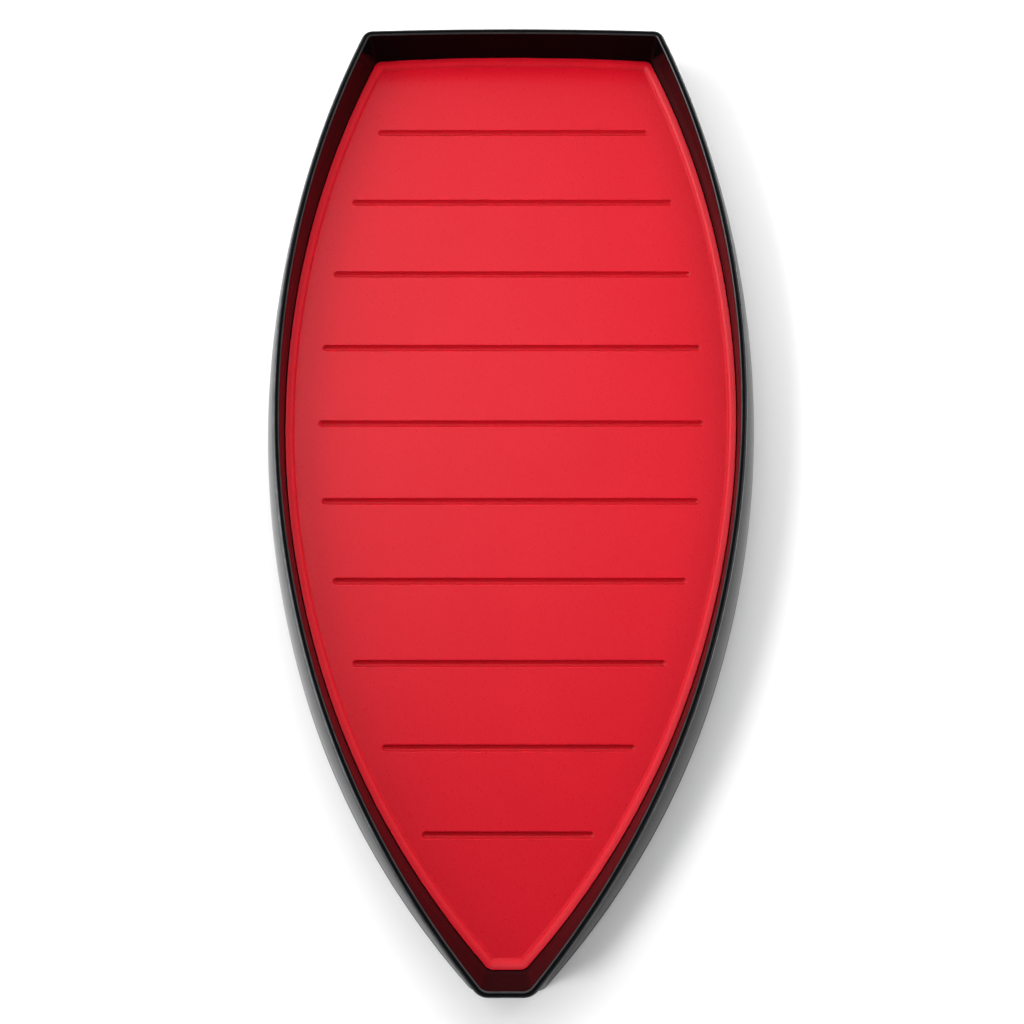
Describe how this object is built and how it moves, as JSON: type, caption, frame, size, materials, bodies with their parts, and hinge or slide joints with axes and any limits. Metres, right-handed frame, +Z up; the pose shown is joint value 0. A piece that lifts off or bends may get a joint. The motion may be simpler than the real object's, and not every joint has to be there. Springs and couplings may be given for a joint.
{
  "type": "boat-shaped serving tray",
  "caption": "Boat-shaped serving tray: a dark hull with a thin raised rim and a hollow flared skirt, holding a plank-grooved deck board that lifts out, on low anti-slip pads.",
  "frame": {"origin": "under the middle of the tray's length and width, on the surface that the pads stand on", "axes": "+Y from the bow to the stern, +Z up, +X to the right when looking from the bow to the stern"},
  "size_m": [0.1736, 0.3653, 0.025],
  "materials": {
    "hull_plastic": "black moulded plastic, satin gloss",
    "deck_plastic": "red lacquered plastic, soft satin",
    "pad_rubber": "dark soft rubber, matte"
  },
  "bodies": {
    "hull": {"hull_shell": "hull_plastic", "pad_stern_left": "pad_rubber", "pad_stern_right": "pad_rubber", "pad_middle_left": "pad_rubber", "pad_middle_right": "pad_rubber", "pad_bow_end": "pad_rubber"},
    "deck": {"deck_board": "deck_plastic"}
  },
  "joints": [
    {"name": "deck_lift", "type": "slide", "parent": "hull", "child": "deck", "axis": [0, 0, 1], "range_m": [0, 0.03]}
  ]
}
